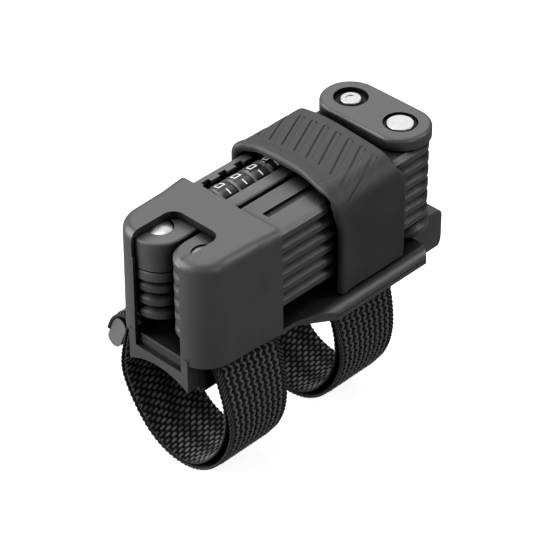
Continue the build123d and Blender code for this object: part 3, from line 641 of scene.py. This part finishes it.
def groove_depth(x, w):
    """Depth from 0 to 1 of the hooked grip grooves; w runs over the band toward +Y."""
    stop = GROOVE_STOP
    turned = smoothstep(x, stop - 1.2, stop - 0.8)
    depth = np.zeros_like(x)
    for number in range(-5, 4):
        start = GROOVE_START + 0.6 * min(number + 2, 0)
        along = smoothstep(x, start - 0.4, start + 0.8)
        local = w - (GROOVE_MIDDLE + GROOVE_STEP * number + GROOVE_TURN * (x - GROOVE_START))
        main = np.exp(-(local / 0.2) ** 2) * along * (1 - smoothstep(x, stop - 0.9, stop - 0.5))
        second = 0.35 * np.exp(-((local + 2.1) / 0.22) ** 2) * along * (1 - turned)
        cap = np.abs(np.hypot((x - (stop - 1.0)) * 1.15, local + 1.05) - 1.05)
        hook = np.exp(-(cap / 0.2) ** 2) * turned
        slope = 0.35 * smoothstep(-local, 0.0, 0.4) * (1 - smoothstep(-local, 0.4, 2.4)) * along
        slope = slope * (1 - smoothstep(x, stop - 1.0, stop))
        depth = np.maximum(depth, np.maximum(np.maximum(main, second), np.maximum(hook, slope)))
    return depth


def band_edges(w, height):
    """Front and back limits of the band at a place on its outline."""
    right = smoothstep(-w, 3.0, 18.0)
    left = smoothstep(w, 12.0, 22.0)
    down = smoothstep(64.0 - height, 0.0, 14.0)
    front = FRONT_X - 2.2 * right + (1.9 * down + 0.9 * down * down) * right - 2.4 * left
    flare = BACK_FLARE * smoothstep(69.0 - height, 0.5, 14.0) * right
    back = BACK_X - 1.2 * smoothstep(-w, -14.0, 8.0) + flare
    return front, back


def band_half(name, rows, inner, outer, run):
    """One half of the band: a closed ring of cross-sections over the given rows."""
    t_out = np.linspace(0, 1, OUTER_POINTS)
    t_in = np.linspace(1, 0, INNER_POINTS)
    turn = np.linspace(0, np.pi, LIP_POINTS + 2)[1:-1]
    co = []
    for i in rows:
        base = inner[i]
        reach = outer[i] - base
        thick = math.hypot(*reach)
        up = reach / thick
        front, back = band_edges(run[i], outer[i][1])
        toward_left = float(smoothstep(run[i], 12.0, 18.0))
        lift = LIP_LIFT * (0.35 + 0.65 * top_weight(up)) * (1 - 0.5 * toward_left)
        lip = (thick + SKIN_SWELL - lift) / 2
        x_out = front + lip + (back - front - lip) * t_out
        x_in = back + (front + lip - back) * (1 - t_in)
        skin = thick + SKIN_SWELL * np.exp(-((x_out - x_out[0]) / 2.2) ** 2)
        skin = skin - GROOVE_DEEP * groove_depth(x_out, run[i])
        under = lift * (1 - smoothstep(x_in, front + lip, front + lip + 6.0))
        front_x = front + lip - lip * np.sin(turn)
        front_h = lift + lip - lip * np.cos(turn)
        back_x = back + thick / 3 * np.sin(turn)
        back_h = thick / 2 * (1 + np.cos(turn))
        x = np.concatenate([x_out, back_x, x_in, front_x])
        h = np.concatenate([skin, back_h, under, front_h])
        co.append(np.stack([x, base[0] + up[0] * h, base[1] + up[1] * h], 1))
    columns = len(co[0])
    obj = mesh_piece(name, np.concatenate(co) * MM, grid_faces(len(co), columns), "band_rubber", BAND_SMOOTH)
    return obj


def top_weight(normal):
    """1 on the top of the band, 0 on its legs."""
    return float(np.clip((normal[1] - 0.25) / 0.5, 0, 1))


def build_band():
    """Both halves of the band, built in place as two meshes, with the CAD band pieces hidden."""
    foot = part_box("band_left")[0].z / MM + BAND_LEG_GAP
    half = -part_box("band_top")[0].y / MM
    inner = band_line(half - BAND_T, INNER_TOP, INNER_CROWN, (INNER_CORNER, INNER_CORNER), foot)
    outer = band_line(half, OUTER_TOP, OUTER_CROWN, (LEFT_CORNER, RIGHT_CORNER), foot)
    step = np.hypot(*np.diff(outer, axis=0).T)
    run = np.concatenate([[0], np.cumsum(step)])
    run = run[-1] / 2 - run
    split = len(outer) // 2
    left = band_half("band_left_half", range(0, split + 1), inner, outer, run)
    right = band_half("band_right_half", range(split, len(outer)), inner, outer, run)
    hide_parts("band_left", "band_top")
    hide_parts("band_right")
    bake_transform(left)
    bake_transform(right)


# ---------------------------------------------------------------- dial numbers
SEGMENTS = {
    "top": ((0, 1), (1, 1)),
    "middle": ((0, 0.5), (1, 0.5)),
    "bottom": ((0, 0), (1, 0)),
    "upper_left": ((0, 0.5), (0, 1)),
    "lower_left": ((0, 0), (0, 0.5)),
    "upper_right": ((1, 0.5), (1, 1)),
    "lower_right": ((1, 0), (1, 0.5)),
    "stem": ((0.5, 0), (0.5, 1)),
}
DIGITS = [
    ("top", "bottom", "upper_left", "lower_left", "upper_right", "lower_right"),
    ("stem",),
    ("top", "upper_right", "middle", "lower_left", "bottom"),
    ("top", "upper_right", "middle", "lower_right", "bottom"),
    ("upper_left", "middle", "upper_right", "lower_right"),
    ("top", "upper_left", "middle", "lower_right", "bottom"),
    ("top", "upper_left", "middle", "lower_left", "lower_right", "bottom"),
    ("top", "upper_right", "lower_right"),
    ("top", "middle", "bottom", "upper_left", "lower_left", "upper_right", "lower_right"),
    ("top", "middle", "bottom", "upper_left", "upper_right", "lower_right"),
]
DIGIT_W = 2.7
DIGIT_H = 1.9
STROKE = 0.36
FIRST_ANGLE = 16.0       # of the 0, from straight up toward +Y
STROKE_STEPS = 5
STROKE_SMOOTH = 30.0
STROKE_SUNK = 0.2        # into the rim
STROKE_PROUD = 0.05      # out of the rim
DIALS = 4


def stroke_box(start, end):
    """Corners (across, up) of one stroke, with its ends drawn past the corner."""
    ax, ay = start[0] * DIGIT_W, start[1] * DIGIT_H
    bx, by = end[0] * DIGIT_W, end[1] * DIGIT_H
    half = STROKE / 2
    return min(ax, bx) - half, max(ax, bx) + half, min(ay, by) - half, max(ay, by) + half


def dial_numbers(index):
    """Ten raised numbers laid on the dial's rim."""
    node = f"dial_{index + 1}"
    low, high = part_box(node)
    middle = (low + high) / 2 / MM
    radius = (high.z - low.z) / 2 / MM
    points = []
    faces = []
    for number, names in enumerate(DIGITS):
        base = math.radians(FIRST_ANGLE - 36 * number)
        for key in names:
            x0, x1, h0, h1 = stroke_box(*SEGMENTS[key])
            first = len(points)
            for k in range(STROKE_STEPS + 1):
                h = h0 + (h1 - h0) * k / STROKE_STEPS - DIGIT_H / 2
                angle = base + h / radius
                for r in (radius - STROKE_SUNK, radius + STROKE_PROUD):
                    for x in (x0, x1):
                        points.append(((middle.x + x - DIGIT_W / 2) * MM,
                                       (middle.y + r * math.sin(angle)) * MM,
                                       (middle.z + r * math.cos(angle)) * MM))
            for k in range(STROKE_STEPS):
                a = first + 4 * k
                b = a + 4
                faces += [(a + 2, a + 3, b + 3, b + 2), (a + 1, a, b, b + 1),
                          (a, a + 2, b + 2, b), (a + 3, a + 1, b + 1, b + 3)]
            last = first + 4 * STROKE_STEPS
            faces.append((first, first + 1, first + 3, first + 2))
            faces.append((last + 2, last + 3, last + 1, last))
    obj = mesh_piece(f"{node}_numbers", points, faces, "numbers", STROKE_SMOOTH)
    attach(obj, f"dial_ring_{index + 1}")


# ---------------------------------------------------------------- stage, light and camera
AZIMUTH = 45.6           # degrees the camera stands toward -X from straight behind -Y
ELEVATION = 36.8
ROLL = 0.35
DISTANCE = 0.804
LENS = 167.3
SENSOR = 36.0
AIM = Vector((3.4, -3.4, 32.6)) * MM
FLOOR_GAP = 0.0012       # keeps the straps clear of the floor
FLOOR_HALF = 4.0
FLOOR_GLOW = 0.8
AIR_ON_LOCK = 0.12
AIR_TO_CAMERA = 1.0
LIGHTS = [               # name, place and size in metres, power in watts
    ("left_key", (-0.85, 0.8, 0.55), (1.5, 1.2), 40.0),
    ("overhead", (0.05, 0.1, 1.2), (0.7, 0.7), 6.5),
    ("back_sheen", (0.75, 0.65, 0.9), (1.2, 0.7), 6.5),
    ("right_edge", (0.75, -0.8, 0.7), (0.3, 0.9), 6.5),
    ("front_fill", (-0.1, -1.1, 0.3), (0.3, 0.6), 3.0),
]


def add_camera():
    """Long lens on the near right corner of the lock, looking down."""
    az = math.radians(AZIMUTH)
    el = math.radians(ELEVATION)
    back = Vector((-math.sin(az) * math.cos(el), -math.cos(az) * math.cos(el), math.sin(el)))
    data = bpy.data.cameras.new("camera")
    data.lens = LENS
    data.sensor_width = SENSOR
    data.clip_start = 0.01
    camera = bpy.data.objects.new("camera", data)
    bpy.context.scene.collection.objects.link(camera)
    place = Matrix.Translation(AIM + back * DISTANCE)
    turn = back.to_track_quat("Z", "Y").to_matrix().to_4x4()
    roll = Matrix.Rotation(math.radians(-ROLL), 4, "Z")
    camera.matrix_world = place @ turn @ roll
    bpy.context.scene.camera = camera


def area_light(name, place, size, power):
    """Soft rectangular light, turned to face the lock."""
    data = bpy.data.lights.new(name, "AREA")
    data.shape = "RECTANGLE"
    data.size, data.size_y = size
    data.energy = power
    light = bpy.data.objects.new(name, data)
    light.location = place
    light.rotation_euler = (AIM - Vector(place)).to_track_quat("-Z", "Y").to_euler()
    bpy.context.scene.collection.objects.link(light)


def pale_floor():
    """Pale matte sweep: it reads white to the camera and reflects little onto the lock."""
    g = Graph("pale_floor")
    seen = g.add("ShaderNodeLightPath")
    matte = g.add("ShaderNodeBsdfDiffuse", {"Color": g.mix(seen, grey(0.11), grey(0.5))})
    shine = g.math("MULTIPLY", seen, FLOOR_GLOW)
    glow = g.add("ShaderNodeEmission", {"Color": (1, 1, 1, 1), "Strength": shine})
    both = g.add("ShaderNodeAddShader", {0: matte, 1: glow})
    g.put(g.tree.nodes["Material Output"], "Surface", both)
    return g.material


def add_studio_air():
    """White backdrop to the camera, and a faint even light on the lock."""
    world = bpy.data.worlds.new("studio")
    bpy.context.scene.world = world
    world.use_nodes = True
    tree = world.node_tree
    background = tree.nodes["Background"]
    background.inputs["Color"].default_value = (1, 1, 1, 1)
    strength = tree.nodes.new("ShaderNodeMapRange")
    strength.inputs["To Min"].default_value = AIR_ON_LOCK
    strength.inputs["To Max"].default_value = AIR_TO_CAMERA
    seen = tree.nodes.new("ShaderNodeLightPath").outputs["Is Camera Ray"]
    tree.links.new(seen, strength.inputs["Value"])
    tree.links.new(strength.outputs["Result"], background.inputs["Strength"])


def add_stage():
    """Floor just under the straps, backdrop and lights."""
    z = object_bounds()[0][2] - FLOOR_GAP
    half = FLOOR_HALF
    corners = [(-half, -half, z), (half, -half, z), (half, half, z), (-half, half, z)]
    mesh = bpy.data.meshes.new("floor")
    mesh.from_pydata(corners, [], [(0, 1, 2, 3)])
    floor = bpy.data.objects.new("floor", mesh)
    bpy.context.scene.collection.objects.link(floor)
    floor.data.materials.append(pale_floor())
    add_studio_air()
    for light in LIGHTS:
        area_light(*light)
    bpy.context.scene.view_settings.view_transform = "Standard"


dress_nodes()
build_straps()
build_band()
for dial_index in range(DIALS):
    dial_numbers(dial_index)
add_stage()
add_camera()
